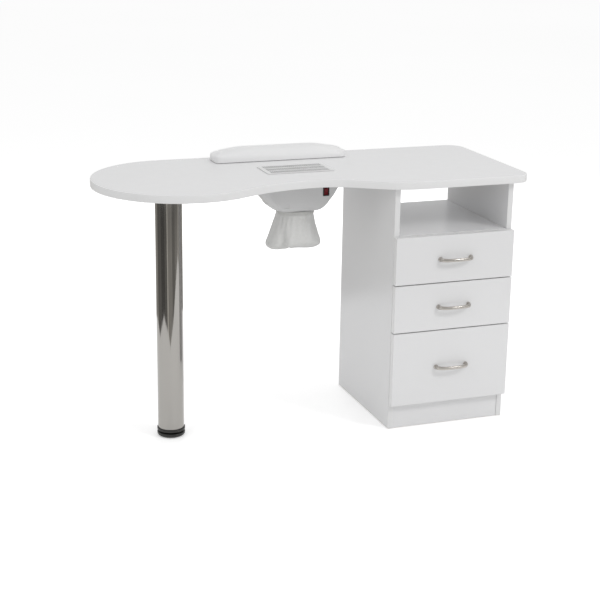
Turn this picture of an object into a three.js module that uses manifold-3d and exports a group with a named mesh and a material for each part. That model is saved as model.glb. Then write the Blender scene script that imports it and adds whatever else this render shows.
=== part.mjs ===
// A one-pedestal manicure table with a built-in nail dust extractor.
//
// The plan frame has x = 0 at the middle of the tabletop's length, y = 0 at its front edge (the
// technician's side) and z = 0 on the floor, in millimetres. place() moves each piece in y so that the
// origin is the middle of the footprint, handles included.
import * as THREE from 'three';
import { mergeVertices } from 'three/addons/utils/BufferGeometryUtils.js';
import Module from 'manifold-3d';

const wasm = await Module();
wasm.setup();

// ---------------------------------------------------------------- driving dimensions
const GAP = 0.25; // glue line or seat between two pieces that touch
const BOARD = 16; // laminated chipboard

const TABLE_HEIGHT = 750;
const TOP_LENGTH = 1240;
const TOP_DEPTH = 504;
const TOP_THICKNESS = 22;
const EDGE_BAND = 2;
const BELLY_DEPTH = 99; // how far the front edge curves in
const BELLY_LEFT_RADIUS = 450;
const BELLY_RIGHT_RADIUS = 194;
const BELLY_SLOPE = 30.5; // degrees, where the curve runs out to the pedestal
const SOFT_CORNER_RADIUS = 193;
const CORNER_RADIUS = 50;

const PEDESTAL_LEFT = 201;
const PEDESTAL_WIDTH = 374;
const PEDESTAL_FRONT = 29;
const PEDESTAL_DEPTH = 402;
const PLINTH_HEIGHT = 74;
const PLINTH_SETBACK = 2;
const NICHE_FLOOR = 588;
const BRACKET_LEG = 28;
const BRACKET_WIDTH = 20;
const FRONT_BRACKET_INSET = 140;
const REAR_BRACKET_INSET = 40;

const FRONT_THICKNESS = 18;
const FRONT_STANDOFF = 2; // bumper gap behind a closed drawer front
const FRONT_REVEAL = 3;
const DRAWER_ROWS = [
  { name: 'bottom', low: 75, high: 301, sideHeight: 180 },
  { name: 'middle', low: 301, high: 445, sideHeight: 100 },
  { name: 'top', low: 445, high: NICHE_FLOOR, sideHeight: 100 },
];
const DRAWER_LENGTH = 350;
const DRAWER_SIDE = 12;
const DRAWER_BOTTOM = 3;
const DRAWER_LIFT = 18; // underside of the drawer above the lower edge of its front
const RUNNER_SPACE = 13;
const RUNNER_HEIGHT = 45;
const RUNNER_STEEL = 1.25;
const RUNNER_AXIS = 71; // runner's middle above the lower edge of its drawer front
const HANDLE_CENTRES = 96;
const HANDLE_REACH = 28;

const LEG_X = -419;
const LEG_Y = 188;
const LEG_RADIUS = 38;
const LEG_WALL = 1.5;
const FOOT_RADIUS = 40.5;
const PAD_HEIGHT = 13;
const PAD_CLEARANCE = 4;
const INSERT_RIM = 9;
const INSERT_PLUG = 28;
const SPINDLE_RADIUS = 5;
const TOP_PLATE = 4;
const TOP_PLATE_RADIUS = 56;

const EXTRACTOR_X = -16;
const EXTRACTOR_Y = 266;
const GRILLE_LENGTH = 205;
const GRILLE_DEPTH = 109;
const SKIRT_LENGTH = 184;
const SKIRT_DEPTH = 104;
const SLOT_ROWS = 3;
const SLOTS_PER_ROW = 30;
const SHELL = 3;
const HOUSING_FLOOR = 635;
const HOUSING_HALF_DEPTH = 62;
const OUTLET_RADIUS = 49.5;
const OUTLET_LOW = 616;
const BAG_RADIUS = 53.5;
const BAG_CLOTH = 2.5;
const FAN_RADIUS = 46;
const FAN_BLADES = 7;
const SWITCH_X = 57;
const SWITCH_Z = 692.5;
const SWITCH_WIDTH = 19;
const SWITCH_HEIGHT = 27;
const ROCKER_TILT = 8; // degrees, at either end of its throw
const GLAND_X = -76;
const GLAND_Z = 695;

const CUSHION_LENGTH = 420;
const CUSHION_DEPTH = 106;
const CUSHION_FRONT = 397;
const CUSHION_SIDE = 24;
const CUSHION_CREST = 36;
const ARMREST_BOARD = 6;

// ---------------------------------------------------------------- derived places
const TOP_UNDERSIDE = TABLE_HEIGHT - TOP_THICKNESS;
const LOBE_RADIUS = TOP_DEPTH / 2;
const PEDESTAL_RIGHT = PEDESTAL_LEFT + PEDESTAL_WIDTH;
const PEDESTAL_MIDDLE = PEDESTAL_LEFT + PEDESTAL_WIDTH / 2;
const PEDESTAL_BACK = PEDESTAL_FRONT + PEDESTAL_DEPTH;
const FRONT_BACK_Y = PEDESTAL_FRONT - FRONT_STANDOFF;
const FRONT_FACE_Y = FRONT_BACK_Y - FRONT_THICKNESS;
const FOOTPRINT_MIDDLE_Y = (TOP_DEPTH + FRONT_FACE_Y - GAP - HANDLE_REACH) / 2;

// ---------------------------------------------------------------- finishes
function finish(color, roughness, metalness = 0) {
  return new THREE.MeshStandardMaterial({ color, roughness, metalness });
}

const MELAMINE = finish(0xe9eaeb, 0.42);
const EDGING = finish(0xf0f0f0, 0.38);
const FIBREBOARD = finish(0xe4e2dc, 0.7);
const ZINC_STEEL = finish(0xb9bcc0, 0.38, 0.9);
const SATIN_NICKEL = finish(0xb4aea6, 0.28, 1);
const CHROME = finish(0xb5b0aa, 0.12, 1);
const BLACK_PLASTIC = finish(0x1a1a18, 0.5);
const WHITE_PLASTIC = finish(0xe2e2e0, 0.4);
const SWITCH_RED = finish(0x6a1218, 0.3);
const NON_WOVEN = finish(0xdededb, 0.9);
const LEATHERETTE = finish(0xf0f0f0, 0.5);

// ---------------------------------------------------------------- shape helpers
const table = new THREE.Group();

function place(name, geometry, material, x = 0, y = 0, z = 0) {
  const mesh = new THREE.Mesh(geometry, material);
  mesh.name = name;
  mesh.position.set(x, y - FOOTPRINT_MIDDLE_Y, z);
  table.add(mesh);
  return mesh;
}

function board(name, material, [x0, x1], [y0, y1], [z0, z1]) {
  const geometry = new THREE.BoxGeometry(x1 - x0, y1 - y0, z1 - z0);
  return place(name, geometry, material, (x0 + x1) / 2, (y0 + y1) / 2, (z0 + z1) / 2);
}

// Points along an arc, both ends included. Angles and the step are in degrees, and may run either way.
function arc(centreX, centreY, radius, from, to, step) {
  const count = Math.max(1, Math.round(Math.abs(to - from) / step));
  const points = [];
  for (let i = 0; i <= count; i += 1) {
    const angle = THREE.MathUtils.degToRad(from + ((to - from) * i) / count);
    const x = centreX + radius * Math.cos(angle);
    const y = centreY + radius * Math.sin(angle);
    points.push(new THREE.Vector2(x, y));
  }
  return points;
}

function roundedRectangle(halfX, halfY, radius, step = 15) {
  const x = halfX - radius;
  const y = halfY - radius;
  return [
    ...arc(x, y, radius, 0, 90, step),
    ...arc(-x, y, radius, 90, 180, step),
    ...arc(-x, -y, radius, 180, 270, step),
    ...arc(x, -y, radius, 270, 360, step),
  ];
}

function extrudeUp(shape, depth) {
  return new THREE.ExtrudeGeometry(shape, { depth, bevelEnabled: false });
}

// A section drawn in x and z, extruded along y from 0 to length.
function extrudeAlongY(points, length) {
  const geometry = extrudeUp(new THREE.Shape(points), length);
  return geometry.rotateX(Math.PI / 2).translate(0, length, 0);
}

// A turned piece about the z axis. The profile is a list of [radius, z].
function turned(profile, segments = 48) {
  const points = profile.map(([radius, z]) => new THREE.Vector2(radius, z));
  return new THREE.LatheGeometry(points, segments).rotateX(Math.PI / 2);
}

const turnedRing = (profile, segments) => turned([...profile, profile[0]], segments);

// A skin over rings that have the same number of points. It closes on itself, or ends in two flat caps.
function skin(rings, closed) {
  const count = rings[0].length;
  const positions = rings.flat().flatMap((p) => [p.x, p.y, p.z]);
  const index = [];
  const joins = closed ? rings.length : rings.length - 1;
  for (let r = 0; r < joins; r += 1) {
    const here = r * count;
    const next = ((r + 1) % rings.length) * count;
    for (let i = 0; i < count; i += 1) {
      const j = (i + 1) % count;
      index.push(here + i, here + j, next + j, here + i, next + j, next + i);
    }
  }
  if (!closed) {
    for (const [ring, flip] of [[0, true], [rings.length - 1, false]]) {
      const sum = rings[ring].reduce((total, p) => total.add(p), new THREE.Vector3());
      const middle = sum.divideScalar(count);
      const centre = positions.length / 3;
      positions.push(middle.x, middle.y, middle.z);
      for (let i = 0; i < count; i += 1) {
        const a = ring * count + i;
        const b = ring * count + ((i + 1) % count);
        index.push(...(flip ? [b, a, centre] : [a, b, centre]));
      }
    }
  }
  const geometry = new THREE.BufferGeometry();
  geometry.setAttribute('position', new THREE.Float32BufferAttribute(positions, 3));
  geometry.setIndex(index);
  return geometry;
}

// A section is a rounded rectangle at height z, with half lengths a and b and corner radius r.
function ring({ z, a, b, r }) {
  return roundedRectangle(a, b, r).map((p) => new THREE.Vector3(p.x, p.y, z));
}

function circle(z, radius) {
  return { z, a: radius, b: radius, r: radius };
}

function inset({ z, a, b, r }, by) {
  return { z, a: a - by, b: b - by, r: r - by };
}

function toSolid(geometry) {
  const bare = geometry.clone();
  bare.deleteAttribute('normal');
  bare.deleteAttribute('uv');
  const merged = mergeVertices(bare, 1e-4);
  const corners = merged.index.array;
  const kept = [];
  for (let i = 0; i < corners.length; i += 3) {
    const [a, b, c] = corners.slice(i, i + 3);
    if (a !== b && b !== c && c !== a) {
      kept.push(a, b, c);
    }
  }
  return new wasm.Manifold(new wasm.Mesh({
    numProp: 3,
    vertProperties: new Float32Array(merged.attributes.position.array),
    triVerts: new Uint32Array(kept),
  }));
}

function fromSolid(solid) {
  const mesh = solid.getMesh();
  const geometry = new THREE.BufferGeometry();
  geometry.setAttribute('position', new THREE.BufferAttribute(mesh.vertProperties, 3));
  geometry.setIndex(new THREE.BufferAttribute(mesh.triVerts, 1));
  return geometry;
}

function joined(...geometries) {
  return fromSolid(geometries.map(toSolid).reduce((all, one) => all.add(one)));
}

function cut(geometry, ...tools) {
  return fromSolid(tools.map(toSolid).reduce((all, one) => all.subtract(one), toSolid(geometry)));
}

// ---------------------------------------------------------------- tabletop
// A half-round end, a belly curve along the front made of two arcs, and a square end with round corners.
// The arcs are tangent to each other, so an inset keeps their centres.
function topOutline(insetBy) {
  const lobeX = LOBE_RADIUS - TOP_LENGTH / 2;
  const reach = LOBE_RADIUS + BELLY_LEFT_RADIUS;
  const drop = reach - BELLY_DEPTH;
  const bellyX = lobeX + Math.sqrt(reach * reach - drop * drop);
  const lobeEnd = 360 - THREE.MathUtils.radToDeg(Math.asin(drop / reach));
  const slope = THREE.MathUtils.degToRad(BELLY_SLOPE);
  const slopeX = bellyX + BELLY_RIGHT_RADIUS * Math.sin(slope);
  const slopeY = BELLY_DEPTH - BELLY_RIGHT_RADIUS * (1 - Math.cos(slope));
  const softX = slopeX + slopeY / Math.tan(slope) + SOFT_CORNER_RADIUS * Math.tan(slope / 2);
  const cornerX = TOP_LENGTH / 2 - CORNER_RADIUS;
  const left = { y: BELLY_DEPTH - BELLY_LEFT_RADIUS, radius: BELLY_LEFT_RADIUS + insetBy };
  const right = { y: BELLY_DEPTH - BELLY_RIGHT_RADIUS, radius: BELLY_RIGHT_RADIUS + insetBy };
  const soft = SOFT_CORNER_RADIUS - insetBy;
  const outer = CORNER_RADIUS - insetBy;
  return [
    ...arc(lobeX, LOBE_RADIUS, LOBE_RADIUS - insetBy, 90, lobeEnd, 5),
    ...arc(bellyX, left.y, left.radius, lobeEnd - 180, 90, 4).slice(1),
    ...arc(bellyX, right.y, right.radius, 90, 90 - BELLY_SLOPE, 5).slice(1),
    ...arc(softX, SOFT_CORNER_RADIUS, soft, 270 - BELLY_SLOPE, 270, 5),
    ...arc(cornerX, CORNER_RADIUS, outer, 270, 360, 10),
    ...arc(cornerX, TOP_DEPTH - CORNER_RADIUS, outer, 0, 90, 10),
  ];
}

function extractorCutOut() {
  const halfX = SKIRT_LENGTH / 2 + 1;
  const halfY = SKIRT_DEPTH / 2 + 1;
  const centre = new THREE.Vector2(EXTRACTOR_X, EXTRACTOR_Y);
  return roundedRectangle(halfX, halfY, 6, 30).map((p) => p.add(centre));
}

const topShape = new THREE.Shape(topOutline(EDGE_BAND + GAP));
topShape.holes.push(new THREE.Path(extractorCutOut()));
place('tabletop', extrudeUp(topShape, TOP_THICKNESS), MELAMINE, 0, 0, TOP_UNDERSIDE);

const bandShape = new THREE.Shape(topOutline(0));
bandShape.holes.push(new THREE.Path(topOutline(EDGE_BAND)));
place('tabletop_edge_band', extrudeUp(bandShape, TOP_THICKNESS), EDGING, 0, 0, TOP_UNDERSIDE);

// ---------------------------------------------------------------- pedestal
const INNER_LEFT = PEDESTAL_LEFT + BOARD;
const INNER_RIGHT = PEDESTAL_RIGHT - BOARD;
const betweenSides = [INNER_LEFT + GAP, INNER_RIGHT - GAP];
const fullDepth = [PEDESTAL_FRONT, PEDESTAL_BACK];
const panelHeight = [0, TOP_UNDERSIDE - GAP];
const shelfHeight = [NICHE_FLOOR - BOARD, NICHE_FLOOR];
const floorHeight = [PLINTH_HEIGHT, PLINTH_HEIGHT + BOARD];
const plinthHeight = [0, PLINTH_HEIGHT - GAP];
const plinthFront = PEDESTAL_FRONT + PLINTH_SETBACK;
const plinthBack = PEDESTAL_BACK - PLINTH_SETBACK;

board('left_side_panel', MELAMINE, [PEDESTAL_LEFT, INNER_LEFT], fullDepth, panelHeight);
board('right_side_panel', MELAMINE, [INNER_RIGHT, PEDESTAL_RIGHT], fullDepth, panelHeight);
board('niche_shelf', MELAMINE, betweenSides, fullDepth, shelfHeight);
board('pedestal_floor', MELAMINE, betweenSides, fullDepth, floorHeight);
board('front_plinth', MELAMINE, betweenSides, [plinthFront, plinthFront + BOARD], plinthHeight);
board('rear_plinth', MELAMINE, betweenSides, [plinthBack - BOARD, plinthBack], plinthHeight);
board('back_panel', MELAMINE, betweenSides, [PEDESTAL_BACK - BOARD, PEDESTAL_BACK],
  [floorHeight[1] + GAP, shelfHeight[0] - GAP]);

// Pressed steel angles hold the tabletop on the side panels, in the top corners of the niche.
function angleBracket(side) {
  const leg = BRACKET_LEG;
  const steel = 2;
  const corner = [[0, 0], [leg, 0], [leg, -steel], [steel, -steel], [steel, -leg], [0, -leg]];
  const section = corner.map(([x, z]) => new THREE.Vector2(side * x, z));
  return extrudeAlongY(section, BRACKET_WIDTH);
}

// The two inner faces that runners and brackets are screwed to. side is the direction into the pedestal.
const INNER_FACES = [
  { sideName: 'left', side: 1, x: INNER_LEFT + GAP },
  { sideName: 'right', side: -1, x: INNER_RIGHT - GAP },
];
const bracketY = {
  front: PEDESTAL_FRONT + FRONT_BRACKET_INSET,
  rear: PEDESTAL_BACK - REAR_BRACKET_INSET - BRACKET_WIDTH,
};
for (const { sideName, side, x } of INNER_FACES) {
  for (const [end, y] of Object.entries(bracketY)) {
    place(`${end}_${sideName}_bracket`, angleBracket(side), ZINC_STEEL, x, y, TOP_UNDERSIDE - GAP);
  }
}

// ---------------------------------------------------------------- drawers
// Ball-bearing runners: a channel screwed to the cabinet, and a smaller channel on the drawer that
// runs inside it. Both sections are drawn with x = 0 at the side panel.
function runnerSection(side, member) {
  const half = RUNNER_HEIGHT / 2;
  const lip = 5;
  const steel = RUNNER_STEEL;
  const depth = 10;
  const inner = half - steel - lip - 1;
  const face = RUNNER_SPACE - GAP;
  const halfSections = {
    cabinet: [
      [0, half], [depth, half], [depth, half - lip], [depth - steel, half - lip],
      [depth - steel, half - steel], [steel, half - steel],
    ],
    drawer: [[face, inner], [3, inner], [3, inner - steel], [face - steel, inner - steel]],
  };
  const upper = halfSections[member];
  const lower = upper.map(([x, z]) => [x, -z]).reverse();
  return [...upper, ...lower].map(([x, z]) => new THREE.Vector2(side * x, z));
}

// A bow handle: an oval bar that leaves one round foot, arches forward and returns to the other.
function bowHandle() {
  const half = HANDLE_CENTRES / 2;
  const barThickness = 8;
  const barHeight = 11;
  const crest = HANDLE_REACH - barThickness / 2;
  const path = new THREE.CatmullRomCurve3([
    new THREE.Vector3(-half, -1, 0),
    new THREE.Vector3(-half + 1, -0.42 * crest, 0),
    new THREE.Vector3(-half + 11, -0.8 * crest, 0),
    new THREE.Vector3(0, -crest, 0),
    new THREE.Vector3(half - 11, -0.8 * crest, 0),
    new THREE.Vector3(half - 1, -0.42 * crest, 0),
    new THREE.Vector3(half, -1, 0),
  ]);
  const section = new THREE.Shape();
  section.absellipse(0, 0, barHeight / 2, barThickness / 2, 0, 2 * Math.PI);
  const options = { steps: 20, curveSegments: 6, extrudePath: path };
  const bar = new THREE.ExtrudeGeometry(section, options);
  const foot = () => turned([[0, 0], [7, 0], [7, 2.5], [5.5, 4], [0, 4]], 20).rotateX(Math.PI / 2);
  return joined(bar, foot().translate(-half, 0, 0), foot().translate(half, 0, 0));
}

const handleGeometry = bowHandle();
const boxLeft = INNER_LEFT + RUNNER_SPACE;
const boxRight = INNER_RIGHT - RUNNER_SPACE;
const boxFront = FRONT_BACK_Y + GAP;
const boxBack = boxFront + DRAWER_LENGTH;
const runnerFront = PEDESTAL_FRONT + 2;

for (const { name, low, high, sideHeight } of DRAWER_ROWS) {
  const base = low + DRAWER_LIFT;
  const sideLow = base + DRAWER_BOTTOM + GAP;
  const sides = [sideLow, sideLow + sideHeight];
  const front = [low + FRONT_REVEAL / 2, high - FRONT_REVEAL / 2];
  const length = [boxFront, boxBack];
  const betweenBoxSides = [boxLeft + DRAWER_SIDE + GAP, boxRight - DRAWER_SIDE - GAP];
  const frontDepth = [FRONT_FACE_Y, FRONT_BACK_Y];
  board(`${name}_drawer_front`, MELAMINE, [PEDESTAL_LEFT, PEDESTAL_RIGHT], frontDepth, front);
  board(`${name}_drawer_left_side`, MELAMINE, [boxLeft, boxLeft + DRAWER_SIDE], length, sides);
  board(`${name}_drawer_right_side`, MELAMINE, [boxRight - DRAWER_SIDE, boxRight], length, sides);
  board(`${name}_drawer_back`, MELAMINE, betweenBoxSides, [boxBack - DRAWER_SIDE, boxBack], sides);
  board(`${name}_drawer_bottom`, FIBREBOARD, [boxLeft, boxRight], length, [base, base + DRAWER_BOTTOM]);
  place(`${name}_drawer_handle`, handleGeometry, SATIN_NICKEL, PEDESTAL_MIDDLE, FRONT_FACE_Y - GAP,
    (low + high) / 2);
  for (const { sideName, side, x } of INNER_FACES) {
    for (const member of ['cabinet', 'drawer']) {
      const steelLength = member === 'cabinet' ? DRAWER_LENGTH : DRAWER_LENGTH - 4;
      const runner = extrudeAlongY(runnerSection(side, member), steelLength);
      const runnerName = `${name}_${sideName}_${member}_runner`;
      place(runnerName, runner, ZINC_STEEL, x, runnerFront, low + RUNNER_AXIS);
    }
  }
}

// ---------------------------------------------------------------- leg
const insertLow = PAD_HEIGHT + PAD_CLEARANCE;
const rimTop = insertLow + INSERT_RIM;
const tubeLow = rimTop + GAP;
const plateLow = TOP_UNDERSIDE - GAP - TOP_PLATE;
const boreRadius = LEG_RADIUS - LEG_WALL;
const plugRadius = boreRadius - GAP;
const spindleTop = PAD_HEIGHT + 48;
const legPieces = {
  leg_mounting_plate: [ZINC_STEEL, turned([
    [0, plateLow - 22], [plugRadius - 2, plateLow - 22], [plugRadius, plateLow - 20],
    [plugRadius, plateLow], [TOP_PLATE_RADIUS, plateLow],
    [TOP_PLATE_RADIUS, plateLow + TOP_PLATE], [0, plateLow + TOP_PLATE],
  ])],
  leg_tube: [CHROME, turnedRing([
    [LEG_RADIUS, tubeLow], [LEG_RADIUS, plateLow - GAP],
    [boreRadius, plateLow - GAP], [boreRadius, tubeLow],
  ], 64)],
  leg_bottom_insert: [BLACK_PLASTIC, turnedRing([
    [SPINDLE_RADIUS + GAP, insertLow], [FOOT_RADIUS - 2, insertLow], [FOOT_RADIUS, insertLow + 2],
    [FOOT_RADIUS, rimTop - 1], [FOOT_RADIUS - 1, rimTop], [plugRadius, rimTop],
    [plugRadius, rimTop + INSERT_PLUG], [SPINDLE_RADIUS + GAP, rimTop + INSERT_PLUG],
  ])],
  foot_spindle: [ZINC_STEEL, turned([
    [0, PAD_HEIGHT + GAP], [SPINDLE_RADIUS, PAD_HEIGHT + GAP], [SPINDLE_RADIUS, spindleTop - 1],
    [SPINDLE_RADIUS - 1, spindleTop], [0, spindleTop],
  ], 24)],
  foot_pad: [BLACK_PLASTIC, turned([
    [0, 0], [FOOT_RADIUS - 7, 0], [FOOT_RADIUS - 3, 2], [FOOT_RADIUS - 0.5, 6],
    [FOOT_RADIUS, PAD_HEIGHT - 2], [FOOT_RADIUS - 2, PAD_HEIGHT], [0, PAD_HEIGHT],
  ])],
};
for (const [name, [material, geometry]] of Object.entries(legPieces)) {
  place(name, geometry, material, LEG_X, LEG_Y);
}

// ---------------------------------------------------------------- dust extractor
// The grille's flange lies on the tabletop, and its skirt hangs in the cut-out.
function grille() {
  const flange = 2.5;
  const skirt = 17;
  const slotWidth = 3.4;
  const slotPitch = 6;
  const slotLength = 29;
  const rowPitch = 34.5;
  const plate = new THREE.Shape(roundedRectangle(GRILLE_LENGTH / 2, GRILLE_DEPTH / 2, 5, 30));
  const slots = [];
  for (let row = 0; row < SLOT_ROWS; row += 1) {
    for (let slot = 0; slot < SLOTS_PER_ROW; slot += 1) {
      const x = (slot - (SLOTS_PER_ROW - 1) / 2) * slotPitch;
      const y = (row - (SLOT_ROWS - 1) / 2) * rowPitch;
      slots.push(new THREE.BoxGeometry(slotWidth, slotLength, 4 * flange).translate(x, y, 0));
    }
  }
  const halfX = SKIRT_LENGTH / 2;
  const halfY = SKIRT_DEPTH / 2;
  const wall = new THREE.Shape(roundedRectangle(halfX, halfY, 5, 30));
  wall.holes.push(new THREE.Path(roundedRectangle(halfX - 2, halfY - 2, 3, 30)));
  const skirtWall = extrudeUp(wall, skirt + 1).translate(0, 0, -skirt);
  const frame = joined(extrudeUp(plate, flange), skirtWall);
  return cut(frame, ...slots);
}

// Outer sections of the housing below its flange, from the tabletop down to the flat underside.
const BOWL = [
  { z: TOP_UNDERSIDE - GAP - SHELL, a: 130, b: HOUSING_HALF_DEPTH, r: 24 },
  { z: 698, a: 117, b: HOUSING_HALF_DEPTH, r: 24 },
  { z: 677, a: 106, b: HOUSING_HALF_DEPTH, r: 26 },
  { z: 662, a: 96, b: HOUSING_HALF_DEPTH - 0.5, r: 30 },
  { z: 649, a: 86, b: HOUSING_HALF_DEPTH - 2, r: 36 },
  { z: 640, a: 75, b: HOUSING_HALF_DEPTH - 4, r: 44 },
  { z: HOUSING_FLOOR, a: 64, b: HOUSING_HALF_DEPTH - 7, r: 50 },
];
const OUTLET_HOLE = OUTLET_RADIUS + 0.5;

function housing() {
  const rim = { z: TOP_UNDERSIDE - GAP, a: 142, b: HOUSING_HALF_DEPTH + 12, r: 30 };
  const floorTop = HOUSING_FLOOR + SHELL;
  const innerWalls = BOWL.slice(0, -2).map((section) => inset(section, SHELL)).reverse();
  const sections = [
    rim,
    { ...rim, z: BOWL[0].z },
    ...BOWL,
    circle(HOUSING_FLOOR, OUTLET_HOLE),
    circle(floorTop, OUTLET_HOLE),
    { z: floorTop, a: 65, b: HOUSING_HALF_DEPTH - 9, r: 51 },
    ...innerWalls,
    { ...inset(BOWL[0], SHELL), z: rim.z },
  ];
  const shell = skin(sections.map(ring).reverse(), true);
  const switchHole = new THREE.BoxGeometry(SWITCH_WIDTH - 3, 20, SWITCH_HEIGHT - 3);
  switchHole.translate(SWITCH_X - EXTRACTOR_X, -HOUSING_HALF_DEPTH, SWITCH_Z);
  const glandHole = new THREE.CylinderGeometry(6.5, 6.5, 20, 24);
  glandHole.translate(GLAND_X - EXTRACTOR_X, HOUSING_HALF_DEPTH, GLAND_Z);
  return cut(shell, switchHole, glandHole);
}

// The outlet tube has a flange on the housing floor and three arms that carry the motor.
function outletCollar() {
  const flangeZ = HOUSING_FLOOR + SHELL + GAP;
  const inner = OUTLET_RADIUS - 2.5;
  const tube = turnedRing([
    [inner, OUTLET_LOW], [OUTLET_RADIUS - 1, OUTLET_LOW], [OUTLET_RADIUS + 1, OUTLET_LOW + 1.5],
    [OUTLET_RADIUS, OUTLET_LOW + 4], [OUTLET_RADIUS, flangeZ], [OUTLET_RADIUS + 2.5, flangeZ],
    [OUTLET_RADIUS + 2.5, flangeZ + SHELL], [inner, flangeZ + SHELL],
  ]);
  const seat = turned([[0, flangeZ], [19, flangeZ], [19, flangeZ + SHELL], [0, flangeZ + SHELL]], 32);
  const arms = [30, 150, 270].map((degrees) => {
    const arm = new THREE.BoxGeometry(36, 7, SHELL - 0.5);
    arm.translate(32, 0, flangeZ + SHELL / 2);
    return arm.rotateZ(THREE.MathUtils.degToRad(degrees));
  });
  return joined(tube, seat, ...arms);
}

const MOTOR_BASE = HOUSING_FLOOR + 2 * SHELL + 2 * GAP;
const MOTOR_TOP = MOTOR_BASE + 24;
const FAN_LOW = MOTOR_TOP + 3;
const FAN_HEIGHT = 18;

function motor() {
  const shaftTop = FAN_LOW + FAN_HEIGHT - 2;
  return turned([
    [0, MOTOR_BASE], [20, MOTOR_BASE], [21, MOTOR_BASE + 1], [21, MOTOR_TOP - 3],
    [18, MOTOR_TOP], [2.5, MOTOR_TOP], [2.5, shaftTop], [0, shaftTop],
  ], 32);
}

function impeller() {
  const hubRadius = 20;
  const hub = turnedRing([
    [2.75, FAN_LOW], [hubRadius, FAN_LOW], [hubRadius, FAN_LOW + FAN_HEIGHT - 3],
    [hubRadius - 4, FAN_LOW + FAN_HEIGHT], [2.75, FAN_LOW + FAN_HEIGHT],
  ], 28);
  const bladeLength = FAN_RADIUS - hubRadius + 2;
  const blades = [];
  for (let i = 0; i < FAN_BLADES; i += 1) {
    const blade = new THREE.BoxGeometry(bladeLength, 20, 1.8).rotateX(THREE.MathUtils.degToRad(38));
    blade.translate(FAN_RADIUS - bladeLength / 2, 0, FAN_LOW + FAN_HEIGHT / 2);
    blades.push(blade.rotateZ((2 * Math.PI * i) / FAN_BLADES));
  }
  return joined(hub, ...blades);
}

// The soft bag hangs from the collar, flares below its hem and is open only at its mouth.
const BAG = [
  circle(634, BAG_RADIUS),
  circle(621, BAG_RADIUS),
  { z: 610, a: 60, b: 56, r: 54 },
  { z: 598, a: 67, b: 59, r: 54 },
  { z: 575, a: 76, b: 62, r: 52 },
  { z: 552, a: 83, b: 64, r: 50 },
  { z: 534, a: 86, b: 64, r: 48 },
  { z: 521, a: 82, b: 60, r: 44 },
  { z: 513, a: 68, b: 48, r: 38 },
];

function dustBag() {
  const inside = BAG.map((section) => inset(section, BAG_CLOTH));
  inside[inside.length - 1].z += BAG_CLOTH;
  return skin([...BAG.map(ring).reverse(), ...inside.map(ring)], false);
}

function bagElastic() {
  const low = 622.5;
  const high = 632.5;
  const inner = BAG_RADIUS + GAP;
  const outer = inner + 2.5;
  return turnedRing([
    [inner, low], [outer - 1, low], [outer, low + 1.5],
    [outer, high - 1.5], [outer - 1, high], [inner, high],
  ]);
}

// The switch's frame is one moulding: a proud border and a pocket in which the rocker turns.
function switchFrame() {
  const frontY = -2;
  const pocketDepth = 15;
  const border = new THREE.BoxGeometry(SWITCH_WIDTH, -frontY, SWITCH_HEIGHT);
  border.translate(0, frontY / 2 - GAP, 0);
  const body = new THREE.BoxGeometry(SWITCH_WIDTH - 3.5, pocketDepth, SWITCH_HEIGHT - 3.5);
  body.translate(0, pocketDepth / 2 - 1, 0);
  const pocket = new THREE.BoxGeometry(SWITCH_WIDTH - 6, pocketDepth, SWITCH_HEIGHT - 5.5);
  pocket.translate(0, pocketDepth / 2 - 4, 0);
  return cut(joined(border, body), pocket);
}

// The rocker's section, in y and z about its pivot: two faces that meet in a shallow valley.
function rocker() {
  const half = SWITCH_HEIGHT / 2 - 3.5;
  const width = SWITCH_WIDTH - 7;
  const section = [
    [-4.5, -half], [-3, -half / 2], [-2.5, 0], [-3, half / 2], [-4.5, half], [-1, half],
    [3, half / 2], [3, -half / 2], [-1, -half],
  ];
  const shape = new THREE.Shape(section.map(([y, z]) => new THREE.Vector2(y, z)));
  const geometry = extrudeUp(shape, width).translate(0, 0, -width / 2);
  return geometry.rotateY(Math.PI / 2).rotateX(Math.PI / 2);
}

function cableGland() {
  const profile = [
    [4.25, -8], [6.25, -8], [6.25, GAP], [10, GAP], [10, 4], [8, 6], [8, 12], [4.25, 12],
  ];
  return turnedRing(profile, 24).rotateX(-Math.PI / 2);
}

place('extractor_grille', grille(), WHITE_PLASTIC, EXTRACTOR_X, EXTRACTOR_Y, TABLE_HEIGHT + GAP);
const extractorPieces = {
  extractor_housing: [WHITE_PLASTIC, housing()],
  outlet_collar: [WHITE_PLASTIC, outletCollar()],
  fan_motor: [ZINC_STEEL, motor()],
  fan_impeller: [BLACK_PLASTIC, impeller()],
  dust_bag: [NON_WOVEN, dustBag()],
  bag_elastic: [NON_WOVEN, bagElastic()],
};
for (const [name, [material, geometry]] of Object.entries(extractorPieces)) {
  place(name, geometry, material, EXTRACTOR_X, EXTRACTOR_Y);
}
const rearFaceY = EXTRACTOR_Y + HOUSING_HALF_DEPTH;
const faceY = EXTRACTOR_Y - HOUSING_HALF_DEPTH;
place('cable_gland', cableGland(), BLACK_PLASTIC, GLAND_X, rearFaceY, GLAND_Z);
place('switch_frame', switchFrame(), BLACK_PLASTIC, SWITCH_X, faceY, SWITCH_Z);
const rockerMesh = place('switch_rocker', rocker(), SWITCH_RED, SWITCH_X, faceY + 1.5, SWITCH_Z);
rockerMesh.rotation.x = THREE.MathUtils.degToRad(ROCKER_TILT);

// ---------------------------------------------------------------- armrest
const cushionX = EXTRACTOR_X + 6;
const cushionY = CUSHION_FRONT + CUSHION_DEPTH / 2;
const boardLow = TABLE_HEIGHT + GAP;
const boardHigh = boardLow + ARMREST_BOARD;
const BOARD_INSET = 10;
const CUSHION_FRONT_CORNER = 20;
const CUSHION_REAR_CORNER = 46;

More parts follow.
